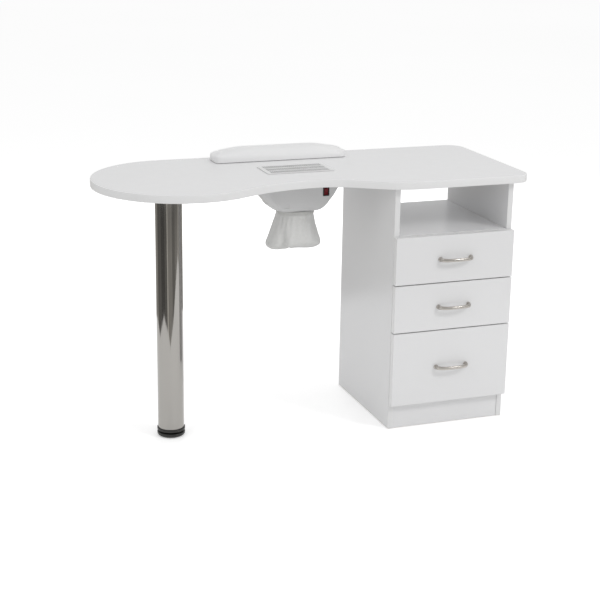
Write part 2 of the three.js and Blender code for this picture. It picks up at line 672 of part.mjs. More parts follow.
// The cushion's outline at an inset, with small corners at the front and large ones at the back.
function cushionRing(z, by) {
  const a = CUSHION_LENGTH / 2 - by;
  const b = CUSHION_DEPTH / 2 - by;
  const corners = [
    [1, 1, CUSHION_REAR_CORNER], [-1, 1, CUSHION_REAR_CORNER],
    [-1, -1, CUSHION_FRONT_CORNER], [1, -1, CUSHION_FRONT_CORNER],
  ];
  const steps = 6;
  return corners.flatMap(([sideX, sideY, radius], corner) => {
    const r = Math.max(radius - by, 4);
    return Array.from({ length: steps + 1 }, (_, step) => {
      const angle = (Math.PI / 2) * (corner + step / steps);
      return new THREE.Vector3(
        sideX * (a - r) + r * Math.cos(angle), sideY * (b - r) + r * Math.sin(angle), z);
    });
  });
}

// The upholstery reaches down past the board, so the solid has a pocket for it underneath.
function cushion() {
  const side = TABLE_HEIGHT + CUSHION_SIDE;
  const crest = TABLE_HEIGHT + CUSHION_CREST;
  const body = skin([
    cushionRing(boardLow + 0.75, 3), cushionRing(boardLow + 3, 0), cushionRing(side - 4, 0),
    cushionRing(side, 2), cushionRing(side + 5, 9), cushionRing(crest - 3, 20),
    cushionRing(crest, 34),
  ], false);
  const pocketInset = BOARD_INSET - 1;
  const pocket = skin([
    cushionRing(boardLow - 5, pocketInset), cushionRing(boardHigh + GAP, pocketInset),
  ], false);
  return cut(body, pocket);
}

const armrestBoard = skin([
  cushionRing(boardLow, BOARD_INSET), cushionRing(boardHigh, BOARD_INSET),
], false);
place('armrest_base', armrestBoard, FIBREBOARD, cushionX, cushionY);
place('armrest_cushion', cushion(), LEATHERETTE, cushionX, cushionY);

export default table;
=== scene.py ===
"""The looks of a manicure table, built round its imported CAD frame.

The script reads the frame only. All lengths are metres in the row frame: +X along the tabletop from the
round end to the pedestal end, +Y from the technician's side to the client's side, +Z up from the floor.
"""
import math

import bmesh
import bpy
from mathutils import Matrix, Vector, noise
from mathutils.geometry import tessellate_polygon


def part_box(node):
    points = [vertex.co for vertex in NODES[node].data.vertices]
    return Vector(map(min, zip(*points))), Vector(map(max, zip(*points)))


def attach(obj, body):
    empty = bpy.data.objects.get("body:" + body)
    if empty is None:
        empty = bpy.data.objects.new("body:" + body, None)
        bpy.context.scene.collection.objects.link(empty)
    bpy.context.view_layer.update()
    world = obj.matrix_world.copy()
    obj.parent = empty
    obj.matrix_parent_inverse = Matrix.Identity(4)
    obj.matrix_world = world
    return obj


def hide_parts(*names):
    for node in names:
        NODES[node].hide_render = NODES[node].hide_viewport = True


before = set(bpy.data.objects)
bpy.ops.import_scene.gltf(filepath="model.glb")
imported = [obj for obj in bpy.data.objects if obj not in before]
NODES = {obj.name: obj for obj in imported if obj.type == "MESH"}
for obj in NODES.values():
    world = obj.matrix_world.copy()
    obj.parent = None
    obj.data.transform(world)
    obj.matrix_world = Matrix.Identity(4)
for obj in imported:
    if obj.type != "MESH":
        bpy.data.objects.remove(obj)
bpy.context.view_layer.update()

MM = 0.001
PLAN_MIDDLE_Y = 242.375  # the plan's y of the row frame's origin, in millimetres
X, Y, Z = Vector((1, 0, 0)), Vector((0, 1, 0)), Vector((0, 0, 1))


def plan(x, y, z):
    """A point of part.mjs's plan, in millimetres, as a point in the row frame."""
    return Vector((x, y - PLAN_MIDDLE_Y, z)) * MM


def polar(radius, angle, z=0.0):
    return Vector((radius * math.cos(angle), radius * math.sin(angle), z))


def middle(node):
    """The middle of a node's box in plan, on the floor."""
    low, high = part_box(node)
    return Vector(((low.x + high.x) / 2, (low.y + high.y) / 2, 0))


def smoothstep(low, high, value):
    t = min(1.0, max(0.0, (value - low) / (high - low)))
    return t * t * (3 - 2 * t)


# ---------------------------------------------------------------- camera
CAMERA_PLACE = Vector((-1.37914, -3.77935, 1.56464))
CAMERA_YAW, CAMERA_PITCH, CAMERA_ROLL = (math.radians(a) for a in (19.9874, 16.7195, 0.8797))
FOCAL_PIXELS, PICTURE_PIXELS, SENSOR_WIDTH = 1405.82, 600, 36


def make_camera():
    data = bpy.data.cameras.new("camera")
    data.sensor_width = SENSOR_WIDTH
    data.lens = FOCAL_PIXELS / PICTURE_PIXELS * SENSOR_WIDTH
    data.clip_start, data.clip_end = 0.05, 200
    ahead = Vector((math.sin(CAMERA_YAW) * math.cos(CAMERA_PITCH),
                    math.cos(CAMERA_YAW) * math.cos(CAMERA_PITCH), -math.sin(CAMERA_PITCH)))
    right = Vector((math.cos(CAMERA_YAW), -math.sin(CAMERA_YAW), 0))
    up = right.cross(ahead)
    c, s = math.cos(CAMERA_ROLL), math.sin(CAMERA_ROLL)
    axes = Matrix((c * right + s * up, c * up - s * right, -ahead)).transposed()
    camera = bpy.data.objects.new("camera", data)
    bpy.context.scene.collection.objects.link(camera)
    camera.matrix_world = Matrix.Translation(CAMERA_PLACE) @ axes.to_4x4()
    bpy.context.scene.camera = camera


make_camera()


# ---------------------------------------------------------------- material helpers
def new_material(name, **fixed):
    """A Principled material. What is the same all over the surface is set on the shader's own sockets."""
    material = bpy.data.materials.new(name)
    material.use_nodes = True
    tree = material.node_tree
    shader = tree.nodes["Principled BSDF"]
    for socket, value in fixed.items():
        shader.inputs[socket.replace("_", " ")].default_value = value
    place = tree.nodes.new("ShaderNodeTexCoord").outputs["Object"]
    return material, tree, shader, place


def surfaced(tree, shader, colour, rough, normal=None):
    """Links what varies over a surface to the shader."""
    for value, socket in ((colour, "Base Color"), (rough, "Roughness"), (normal, "Normal")):
        if value is not None:
            tree.links.new(value, shader.inputs[socket])


def scaled(tree, place, scale, stretch=(1, 1, 1)):
    mapping = tree.nodes.new("ShaderNodeMapping")
    mapping.inputs["Scale"].default_value = [scale * s for s in stretch]
    tree.links.new(place, mapping.inputs["Vector"])
    return mapping.outputs["Vector"]


def noise_texture(tree, place, scale, detail=2, stretch=(1, 1, 1), distortion=0):
    node = tree.nodes.new("ShaderNodeTexNoise")
    node.inputs["Scale"].default_value = 1
    node.inputs["Detail"].default_value = detail
    node.inputs["Distortion"].default_value = distortion
    tree.links.new(scaled(tree, place, scale, stretch), node.inputs["Vector"])
    return node.outputs["Fac"]


def cell_texture(tree, place, scale, feature="F1", stretch=(1, 1, 1), output="Distance"):
    node = tree.nodes.new("ShaderNodeTexVoronoi")
    node.feature = feature
    node.inputs["Scale"].default_value = 1
    tree.links.new(scaled(tree, place, scale, stretch), node.inputs["Vector"])
    return node.outputs[output]


def band_texture(tree, place, scale, axis, distortion=0):
    node = tree.nodes.new("ShaderNodeTexWave")
    node.bands_direction = axis
    node.inputs["Scale"].default_value = 1
    node.inputs["Distortion"].default_value = distortion
    tree.links.new(scaled(tree, place, scale), node.inputs["Vector"])
    return node.outputs["Fac"]


def spread(tree, value, low, high, from_low=0.3, from_high=0.7):
    node = tree.nodes.new("ShaderNodeMapRange")
    for socket, number in zip(("From Min", "From Max", "To Min", "To Max"), (from_low, from_high, low, high)):
        node.inputs[socket].default_value = number
    tree.links.new(value, node.inputs["Value"])
    return node.outputs["Result"]


def two_colours(tree, value, dark, light, from_low=0.3, from_high=0.7):
    node = tree.nodes.new("ShaderNodeValToRGB")
    ramp = node.color_ramp.elements
    ramp[0].position, ramp[1].position = from_low, from_high
    ramp[0].color, ramp[1].color = (*dark, 1), (*light, 1)
    tree.links.new(value, node.inputs["Fac"])
    return node.outputs["Color"]


def bump(tree, height, depth, under=None):
    node = tree.nodes.new("ShaderNodeBump")
    node.inputs["Strength"].default_value = 1.0
    node.inputs["Distance"].default_value = depth
    tree.links.new(height, node.inputs["Height"])
    if under is not None:
        tree.links.new(under, node.inputs["Normal"])
    return node.outputs["Normal"]


def cell_tones(tree, place, scale, dark, light, stretch=(1, 1, 1)):
    """A tone for each cell, and the separate random numbers that it comes from."""
    split = tree.nodes.new("ShaderNodeSeparateColor")
    tree.links.new(cell_texture(tree, place, scale, stretch=stretch, output="Color"), split.inputs["Color"])
    return two_colours(tree, split.outputs["Red"], dark, light, 0, 1), split


def painted(name, colour, rough, metal=0.0, vary=0.02, patch=6, grain=None, stretch=(1, 1, 1), **fixed):
    """Colour and roughness drift over patches of 1/patch metres. grain is (cells per metre, depth)."""
    material, tree, shader, place = new_material(name, Metallic=metal, **fixed)
    drift = noise_texture(tree, place, patch, 3, stretch)
    dark, light = ([c * (1 + side * vary) for c in colour] for side in (-1, 1))
    wear = noise_texture(tree, place, patch * 7, 4, stretch)
    normal = bump(tree, noise_texture(tree, place, grain[0], 2, stretch), grain[1]) if grain else None
    surfaced(tree, shader, two_colours(tree, drift, dark, light), spread(tree, wear, *rough), normal)
    return material


# ---------------------------------------------------------------- materials
def grey(tone):
    return tone, tone, tone


def melamine(name, colour):
    return painted(name, colour, (0.19, 0.215), vary=0.005, patch=4, grain=(500, 0.000003))


def edging(name, tone):
    return painted(name, grey(tone), (0.28, 0.33), vary=0.006, patch=9, grain=(900, 0.000003))


# The side panels are a slightly darker board (painted shade), and the tabletop has a slightly lighter band
# (painted light).
MELAMINE = melamine("melamine", (0.82, 0.82, 0.825))
SHADED_SIDE_MELAMINE = melamine("side_melamine_painted_shade", (0.775, 0.775, 0.78))
EDGING, LIT_TOP_EDGING = edging("edging", 0.80), edging("top_edging_painted_light", 0.835)
PLASTIC = painted("white_plastic", grey(0.65), (0.32, 0.42), patch=12, grain=(1400, 0.00003))
# The inside of the housing is painted near black: painted shade, so that the grille's slots look as dark as the
# shaded box within.
SHADED_INSIDE = painted("housing_inside_painted_shade", (0.1, 0.1, 0.097), (0.6, 0.8), vary=0.2, patch=30, grain=(500, 0.00002))
GRILLE_WHITE = painted("grille_white", grey(0.78), (0.3, 0.4), vary=0.015, patch=14, grain=(1400, 0.00002))
BLACK = painted("black_plastic", (0.012, 0.012, 0.011), (0.35, 0.5), vary=0.2, patch=25, grain=(1600, 0.00004))
NICKEL = painted("satin_nickel", (0.47, 0.445, 0.415), (0.2, 0.34), 1.0, vary=0.04, patch=60,
                 grain=(900, 0.000012), stretch=(1, 6, 6))
CHROME = painted("chrome", (0.355, 0.343, 0.325), (0.065, 0.1), 1.0, vary=0.03, patch=14,
                 grain=(45, 0.00002), stretch=(1, 1, 0.04))
STEEL = painted("steel", (0.45, 0.45, 0.46), (0.25, 0.42), 1.0, vary=0.06, patch=70, grain=(700, 0.00001))
RED = painted("switch_red", (0.13, 0.006, 0.010), (0.3, 0.4), vary=0.1, patch=80, grain=(700, 0.00001),
              Specular_IOR_Level=0.2)


def zinc():
    material, tree, shader, place = new_material("zinc_steel", Metallic=1.0)
    colours, numbers = cell_tones(tree, place, 260, (0.42, 0.43, 0.45), (0.60, 0.61, 0.63))
    rolled = noise_texture(tree, place, 500, 2, (1, 0.05, 1))
    surfaced(tree, shader, colours, spread(tree, numbers.outputs["Green"], 0.26, 0.44, 0, 1),
             bump(tree, rolled, 0.00002))
    return material


def chipboard():
    material, tree, shader, place = new_material("chipboard")
    colours, _ = cell_tones(tree, place, 520, (0.30, 0.20, 0.11), (0.56, 0.43, 0.27), (1, 1, 2.5))
    pores = noise_texture(tree, place, 700, 3)
    surfaced(tree, shader, colours, spread(tree, pores, 0.7, 0.9), bump(tree, pores, 0.0003))
    return material


def fibreboard():
    material, tree, shader, place = new_material("fibreboard")
    felt = noise_texture(tree, place, 350, 5)
    colours = two_colours(tree, felt, (0.62, 0.605, 0.565), (0.70, 0.69, 0.655))
    surfaced(tree, shader, colours, spread(tree, felt, 0.5, 0.65), bump(tree, felt, 0.00005))
    return material


def leatherette():
    material, tree, shader, place = new_material("leatherette", Sheen_Weight=0.05)
    cells = cell_texture(tree, place, 620, "DISTANCE_TO_EDGE")
    folds = noise_texture(tree, place, 45, 4)
    drift = noise_texture(tree, place, 9, 3)
    grain = bump(tree, spread(tree, cells, 0, 1, 0, 0.25), 0.00012, under=bump(tree, folds, 0.0006))
    surfaced(tree, shader, two_colours(tree, drift, (0.84, 0.84, 0.845), (0.86, 0.86, 0.86)),
             spread(tree, folds, 0.36, 0.5), grain)
    return material


def non_woven():
    """Spun fibres that lie in every direction, with the rolled-in grid of small bond points."""
    material, tree, shader, place = new_material("non_woven", Sheen_Weight=0.25, Sheen_Roughness=0.6)
    fibres = noise_texture(tree, place, 900, 4, (1, 1, 0.35), 1.5)
    clouds = noise_texture(tree, place, 120, 3)
    points = cell_texture(tree, place, 640)
    pressed = bump(tree, spread(tree, points, 0, 1, 0.0, 0.3), 0.00015)
    surfaced(tree, shader, two_colours(tree, clouds, (0.715, 0.715, 0.70), (0.755, 0.755, 0.74)),
             spread(tree, fibres, 0.8, 0.95), bump(tree, fibres, 0.00025, under=pressed))
    return material


def elastic():
    material, tree, shader, place = new_material("elastic", Sheen_Weight=0.2)
    ribs = band_texture(tree, place, 330, "Z", 0.6)
    weave = noise_texture(tree, place, 1100, 3)
    surfaced(tree, shader, two_colours(tree, ribs, (0.68, 0.68, 0.66), (0.82, 0.82, 0.80), 0.2, 0.8),
             spread(tree, weave, 0.75, 0.92), bump(tree, weave, 0.0001, under=bump(tree, ribs, 0.0004)))
    return material


ZINC, CHIPBOARD, FIBREBOARD = zinc(), chipboard(), fibreboard()
LEATHERETTE, NON_WOVEN, ELASTIC = leatherette(), non_woven(), elastic()


# ---------------------------------------------------------------- mesh helpers
SHARP_DEGREES = 34  # an edge that turns more than this stays sharp, or is bevelled


def piece(name, body, bm, materials, replaced, bevel=0.0, segments=2):
    """A finished bmesh as a piece that rides on a body in place of the replaced CAD nodes."""
    mesh = mesh_from(bm)
    for material in materials:
        mesh.materials.append(material)
    mesh.shade_smooth()
    obj = bpy.data.objects.new(name, mesh)
    bpy.context.scene.collection.objects.link(obj)
    if bevel:
        modifier = obj.modifiers.new("edges", "BEVEL")
        modifier.width, modifier.segments = bevel, segments
        modifier.limit_method, modifier.angle_limit = "ANGLE", math.radians(SHARP_DEGREES)
        modifier.harden_normals = True
        modifier.use_clamp_overlap = True
    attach(obj, body)
    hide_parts(*replaced)
    return obj


def mesh_from(bm):
    mesh = bpy.data.meshes.new("mesh")
    bm.normal_update()
    bm.to_mesh(mesh)
    bm.free()
    return mesh


def outward(bm):
    bmesh.ops.recalc_face_normals(bm, faces=bm.faces)


def sharpen(bm, degrees=SHARP_DEGREES):
    """Marks the edges that a smooth-shaded mesh keeps sharp."""
    for edge in bm.edges:
        if len(edge.link_faces) == 2 and edge.calc_face_angle(0) > math.radians(degrees):
            edge.smooth = False


def add_rings(bm, rings, caps=False, loop=False):
    """Quads between successive rings of points. Every ring has the same number of points."""
    rows = [[bm.verts.new(p) for p in ring] for ring in rings]
    count = len(rows[0])
    pairs = list(zip(rows, rows[1:])) + ([(rows[-1], rows[0])] if loop else [])
    for low, high in pairs:
        for i in range(count):
            j = (i + 1) % count
            bm.faces.new((low[i], low[j], high[j], high[i]))
    if caps:
        bm.faces.new(reversed(rows[0]))
        bm.faces.new(rows[-1])
    return rows


def skin(rings, caps=False, loop=False):
    """A closed bmesh of rings, with its faces pointing out."""
    bm = bmesh.new()
    add_rings(bm, rings, caps, loop)
    outward(bm)
    return bm


def close_ring(bm, row, first=0):
    """Closes a ring with strips that run across it, starting at its first point and going on to both sides."""
    count = len(row)
    for i in range(count // 2):
        picks = (first + i, first + i + 1, first - i - 1, first - i)
        corners = list(dict.fromkeys(row[k % count] for k in picks))
        if len(corners) > 2:
            bm.faces.new(corners)


def circle(radius, height, count):
    return [polar(radius, 2 * math.pi * i / count, height) for i in range(count)]


def catmull_rom(a, b, c, d, t):
    """A number or a point at t from b to c."""
    return 0.5 * (2 * b + (c - a) * t + (2 * a - 5 * b + 4 * c - d) * t * t + (3 * b - a - 3 * c + d) * t ** 3)


def rounded_corner(before, here, after, reach, steps):
    """Points along the curve that cuts a corner off, starting at reach from it."""
    start, end = (here + (other - here).normalized() * reach for other in (before, after))
    for i in range(steps + 1):
        t = i / steps
        yield (1 - t) ** 2 * start + 2 * t * (1 - t) * here + t * t * end


def rounded_profile(points, radii, steps=4):
    """A polyline of 2D points with its inner corners rounded."""
    made = [Vector(points[0])]
    for before, here, after, radius in zip(points, points[1:], points[2:], radii):
        before, here, after = Vector(before), Vector(here), Vector(after)
        reach = min(radius, (before - here).length * 0.49, (after - here).length * 0.49)
        made += rounded_corner(before, here, after, reach, steps)
    made.append(Vector(points[-1]))
    return made


def facing(place, axis):
    """The matrix that stands something on place with its +Z along axis."""
    return Matrix.Translation(place) @ Z.rotation_difference(axis).to_matrix().to_4x4()


def turned(profile, centre, axis=Z, count=96):
    """A turned mesh. The profile is a list of (radius, height); a radius of 0 closes it in a point."""
    bm = bmesh.new()
    add_rings(bm, [circle(max(r, 1e-6), h, count) for r, h in profile])
    bmesh.ops.remove_doubles(bm, verts=bm.verts, dist=4e-6)
    bmesh.ops.dissolve_degenerate(bm, edges=bm.edges, dist=1e-7)
    outward(bm)
    bm.transform(facing(centre, axis))
    sharpen(bm)
    return bm


def merge(target, source):
    """Moves the faces of one bmesh into another."""
    mesh = mesh_from(source)
    target.from_mesh(mesh)
    bpy.data.meshes.remove(mesh)


def copied(node):
    """A CAD node's shape as welded, clean faces."""
    bm = bmesh.new()
    bm.from_mesh(NODES[node].data)
    bmesh.ops.remove_doubles(bm, verts=bm.verts, dist=2e-6)
    bmesh.ops.dissolve_limit(bm, angle_limit=math.radians(0.6), verts=bm.verts, edges=bm.edges)
    for face in bm.faces:
        face.material_index = 0
    return bm


def refined(name, node, body, material, bevel, segments=2):
    """A CAD node's own shape, with softened edges."""
    piece(name, body, copied(node), [material], [node], bevel, segments)


def baked(obj):
    """Replaces a piece's mesh by what its modifiers make of it."""
    graph = bpy.context.evaluated_depsgraph_get()
    mesh = bpy.data.meshes.new_from_object(obj.evaluated_get(graph))
    obj.modifiers.clear()
    obj.data = mesh


# ---------------------------------------------------------------- boards
BAND = 1.0 * MM  # edge band on the pedestal's boards
ROWS, SIDES = ("top", "middle", "bottom"), ("left", "right")
SQUARE_EDGE, ROUND_EDGE = 0.12 * MM, 0.8 * MM


def add_box(bm, low, high, outer_low, outer_high, material):
    """A box whose edges on the board's outline are rounded and whose other edges are almost sharp."""
    corners = [bm.verts.new((x, y, z)) for x in (low.x, high.x) for y in (low.y, high.y) for z in (low.z, high.z)]
    for quad in ((0, 1, 3, 2), (4, 6, 7, 5), (0, 4, 5, 1), (2, 3, 7, 6), (0, 2, 6, 4), (1, 5, 7, 3)):
        bm.faces.new([corners[i] for i in quad]).material_index = material
    weight = bm.edges.layers.float.get("bevel_weight_edge") or bm.edges.layers.float.new("bevel_weight_edge")
    for a in range(8):
        for bit in (1, 2, 4):
            if a & bit:
                continue
            edge = bm.edges.get((corners[a], corners[a | bit]))
            along = {4: 0, 2: 1, 1: 2}[bit]
            on_outline = all(min(abs(edge.verts[0].co[k] - outer_low[k]),
                                 abs(edge.verts[0].co[k] - outer_high[k])) < 1e-6
                             for k in range(3) if k != along)
            edge[weight] = 1.0 if on_outline else SQUARE_EDGE / ROUND_EDGE


def banded_board(name, node, body, bands="", raw="", face=MELAMINE):
    """A laminated board. bands names the sides that carry an edge band, as in "-x+x-z+z", and the sides in
    raw show the chipboard."""
    low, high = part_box(node)
    banded, bare = ([sides[i:i + 2] for i in range(0, len(sides), 2)] for sides in (bands, raw))
    core_low, core_high = low.copy(), high.copy()
    bm = bmesh.new()
    strips = []
    for side in banded:
        axis = "xyz".index(side[1])
        strip_low, strip_high = core_low.copy(), core_high.copy()
        if side[0] == "-":
            strip_high[axis] = core_low[axis] = core_low[axis] + BAND
        else:
            strip_low[axis] = core_high[axis] = core_high[axis] - BAND
        strips.append((strip_low, strip_high))
    add_box(bm, core_low, core_high, low, high, 0)
    for strip_low, strip_high in strips:
        add_box(bm, strip_low, strip_high, low, high, 1)
    for polygon in bm.faces:
        polygon.normal_update()
        for side in bare:
            if polygon.normal["xyz".index(side[1])] * (1 if side[0] == "+" else -1) > 0.9:
                polygon.material_index = 2
    obj = piece(name, body, bm, [face, EDGING, CHIPBOARD], [node])
    modifier = obj.modifiers.new("edges", "BEVEL")
    modifier.width, modifier.segments, modifier.limit_method = ROUND_EDGE, 3, "WEIGHT"
    modifier.harden_normals = True
    return obj


def build_pedestal():
    # The side panels take the darker copy of the board: painted shade.
    for side in SIDES:
        banded_board(f"side_board_{side}", f"{side}_side_panel", "table", "-y+y", "-z+z", face=SHADED_SIDE_MELAMINE)
    banded_board("shelf_board", "niche_shelf", "table", "-y+y")
    banded_board("floor_board", "pedestal_floor", "table", "-y+y")
    banded_board("plinth_board_front", "front_plinth", "table", "", "-z")
    banded_board("plinth_board_rear", "rear_plinth", "table", "", "-z")
    banded_board("back_board", "back_panel", "table", "")


def build_drawer_boxes():
    for row in ROWS:
        body = f"{row}_drawer"
        banded_board(f"{row}_front_board", f"{row}_drawer_front", body, "-x+x-z+z")
        for side in SIDES:
            banded_board(f"{row}_box_{side}", f"{row}_drawer_{side}_side", body, "+z", "-y+y")
        banded_board(f"{row}_box_back", f"{row}_drawer_back", body, "+z")
        node = f"{row}_drawer_bottom"
        refined(f"{row}_box_floor", node, body, FIBREBOARD, 0.3 * MM)


build_pedestal()
build_drawer_boxes()

# ---------------------------------------------------------------- tabletop
TOP = dict(length=1240, depth=504, belly=99, left=450, right=194, slope=30.5, soft=193, corner=50)


def arc(cx, cy, radius, start, end, step):
    count = max(1, round(abs(end - start) / step))
    angles = (math.radians(start + (end - start) * i / count) for i in range(count + 1))
    return [(cx + radius * math.cos(a), cy + radius * math.sin(a)) for a in angles]


def top_outline(inset):
    """part.mjs's outline of the tabletop, in its plan, in finer steps. Insets run parallel to each other."""
    lobe = TOP["depth"] / 2
    lobe_x = lobe - TOP["length"] / 2
    reach = lobe + TOP["left"]
    drop = reach - TOP["belly"]
    belly_x = lobe_x + math.sqrt(reach * reach - drop * drop)
    lobe_end = 360 - math.degrees(math.asin(drop / reach))
    slope = math.radians(TOP["slope"])
    slope_x = belly_x + TOP["right"] * math.sin(slope)
    slope_y = TOP["belly"] - TOP["right"] * (1 - math.cos(slope))
    soft_x = slope_x + slope_y / math.tan(slope) + TOP["soft"] * math.tan(slope / 2)
    corner_x = TOP["length"] / 2 - TOP["corner"]
    outer = TOP["corner"] - inset
    return [
        *arc(lobe_x, lobe, lobe - inset, 90, lobe_end, 1.5),
        *arc(belly_x, TOP["belly"] - TOP["left"], TOP["left"] + inset, lobe_end - 180, 90, 1.5)[1:],
        *arc(belly_x, TOP["belly"] - TOP["right"], TOP["right"] + inset, 90, 90 - TOP["slope"], 1.5)[1:],
        *arc(soft_x, TOP["soft"], TOP["soft"] - inset, 270 - TOP["slope"], 270, 1.5),
        *arc(corner_x, TOP["corner"], outer, 270, 360, 3),
        *arc(corner_x, TOP["depth"] - TOP["corner"], outer, 0, 90, 3),
    ]


def build_tabletop():
    low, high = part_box("tabletop")
    z0, z1 = low.z / MM, high.z / MM
    seam, chamfer = 2.12, 0.12

    def ring(inset, z):
        return [plan(x, y, z) for x, y in top_outline(inset)]

    bm = bmesh.new()
    rows = add_rings(bm, [ring(seam + chamfer, z0), ring(seam, z0 + chamfer), ring(seam, z1 - chamfer),
                          ring(seam + chamfer, z1)])
    cx, cy, _ = middle("extractor_grille")
    hx, hy = 93 * MM, 53 * MM  # half of the cut-out
    hole = [(cx - hx, cy - hy), (cx + hx, cy - hy), (cx + hx, cy + hy), (cx - hx, cy + hy)]
    hole_rows = [[bm.verts.new((x, y, z)) for x, y in hole] for z in (low.z, high.z)]
    for i in range(4):
        j = (i + 1) % 4
        face = bm.faces.new((hole_rows[0][j], hole_rows[0][i], hole_rows[1][i], hole_rows[1][j]))
        face.material_index = 1
    for edge_row, hole_row, flip in ((rows[0], hole_rows[0], True), (rows[-1], hole_rows[1], False)):
        loops = [[v.co for v in edge_row], [v.co for v in reversed(hole_row)]]
        verts = [*edge_row, *reversed(hole_row)]
        for triangle in tessellate_polygon(loops):
            face = bm.faces.new([verts[i] for i in triangle])
            face.normal_update()
            if (face.normal.z < 0) != flip:
                face.normal_flip()
    sharpen(bm, 20)
    piece("tabletop_board", "table", bm, [MELAMINE, CHIPBOARD], ["tabletop"])

    round_edge = 1.4
    profile = [(seam, z0 + chamfer), (seam - chamfer, z0)]
    profile += [(round_edge * (1 - math.sin(a)), z0 + round_edge * (1 - math.cos(a)))
                for a in (math.pi / 2 * i / 5 for i in range(6))]
    profile += [(inset, z0 + z1 - z) for inset, z in reversed(profile)]
    bm = skin([ring(inset, z) for inset, z in profile], loop=True)
    # The band takes the lighter copy of the edging: painted light.
    piece("tabletop_band", "table", bm, [LIT_TOP_EDGING], ["tabletop_edge_band"])


build_tabletop()


# ---------------------------------------------------------------- drawer hardware
def smooth_path(points, count):
    """Evenly spread points on a Catmull-Rom curve."""
    padded = [2 * points[0] - points[1], *points, 2 * points[-1] - points[-2]]
    fine = []
    for a, b, c, d in zip(padded, padded[1:], padded[2:], padded[3:]):
        fine += [catmull_rom(a, b, c, d, i / 20) for i in range(20)]
    fine.append(points[-1])
    lengths = [0.0]
    for a, b in zip(fine, fine[1:]):
        lengths.append(lengths[-1] + (b - a).length)
    made, at = [], 0
    for i in range(count):
        want = lengths[-1] * i / (count - 1)
        while at < len(fine) - 2 and lengths[at + 1] < want:
            at += 1
        span = max(lengths[at + 1] - lengths[at], 1e-12)
        made.append(fine[at].lerp(fine[at + 1], (want - lengths[at]) / span))
    return made


def build_handle(row):
    """A bow: an oval bar that rises out of one round foot and returns to the other."""
    low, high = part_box(f"{row}_drawer_handle")
    centre = Vector(((low.x + high.x) / 2, high.y, (low.z + high.z) / 2))
    half, thick, tall = 48 * MM, 7.8 * MM, 11 * MM
    crest = high.y - low.y - thick / 2 - 0.05 * MM
    along = [(-half, -0.5 * MM), (-half, -0.25 * crest), (-half + 1.5 * MM, -0.52 * crest),
             (-half + 12 * MM, -0.83 * crest), (-half * 0.4, -0.965 * crest), (0, -crest)]
    along += [(-x, y) for x, y in reversed(along[:-1])]
    last, around, power = 60, 20, 0.9
    path = smooth_path([Vector((x, y, 0)) for x, y in along], last + 1)
    rings = []
    for i, point in enumerate(path):
        tangent = (path[min(i + 1, last)] - path[max(i - 1, 0)]).normalized()
        across = tangent.cross(Z).normalized()
        away = min(i, last - i) / last
        grow = min(1.2, 1 + 0.25 * (1 - smoothstep(0.0, 0.12, away))) * (1 - 0.1 * smoothstep(0.12, 0.3, away))
        ring = []
        for k in range(around):
            c, s, _ = polar(1, 2 * math.pi * k / around)
            wide, rise = (math.copysign(abs(v) ** power, v) / 2 for v in (c, s))
            ring.append(centre + point + across * wide * thick + Z * rise * tall * grow)
        rings.append(ring)
    bm = skin(rings, caps=True)
    for side in (-1, 1):
        foot = rounded_profile([(0, 0), (7.0 * MM, 0), (7.0 * MM, 2.4 * MM), (5.6 * MM, 4.2 * MM), (0, 5 * MM)],
                               [0.2 * MM, 1.0 * MM, 1.4 * MM])
        merge(bm, turned(foot, centre + X * side * half, -Y, 48))
    piece(f"{row}_bow", f"{row}_drawer", bm, [NICKEL], [f"{row}_drawer_handle"])


def add_screw(bm, place, axis, radius, height):
    """A pan-head screw with its cross recess painted black as painted shade, standing on place and facing along
    axis.
    """
    profile = [(radius, 0), (radius, height * 0.25), (radius * 0.86, height * 0.72), (radius * 0.5, height),
               (0, height)]
    head = turned(rounded_profile(profile, [height * 0.2, height * 0.3, height * 0.3], 2), Vector(), Z, 24)
    top = height * 1.005
    # The cross is almost flat: its black faces are painted shade for the depth of the recess.
    for angle in (0, math.pi / 2):
        matrix = Matrix.Rotation(angle, 4, "Z")
        a, b = radius * 0.52, radius * 0.11
        corners = [(-a, -b), (a, -b), (a, b), (-a, b)]
        upper = [head.verts.new(matrix @ Vector((x, y, top))) for x, y in corners]
        lower = [head.verts.new(matrix @ Vector((x * 0.45, y * 0.5, top - height * 0.01))) for x, y in corners]
        for i in range(4):
            j = (i + 1) % 4
            head.faces.new((upper[i], upper[j], lower[j], lower[i])).material_index = 1
        head.faces.new(lower).material_index = 1
    head.transform(facing(place, axis))
    merge(bm, head)


for row_name in ROWS:
    build_handle(row_name)
    for side_name in SIDES:
        for member, body_name in (("cabinet", "table"), ("drawer", f"{row_name}_drawer")):
            refined(f"{row_name}_{side_name}_{member}_channel", f"{row_name}_{side_name}_{member}_runner",
                    body_name, ZINC, 0.35 * MM)


# ---------------------------------------------------------------- leg
def extent(node):
    """A round node's radius, lowest and highest z, in millimetres."""
    low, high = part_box(node)
    return (high.x - low.x) / 2 / MM, low.z / MM, high.z / MM


LEG = middle("leg_tube")


def leg_part(profile, radii, count=96):
    """A turned part on the leg's axis. The profile is in millimetres."""
    return turned([p * MM for p in rounded_profile(profile, radii)], LEG, count=count)


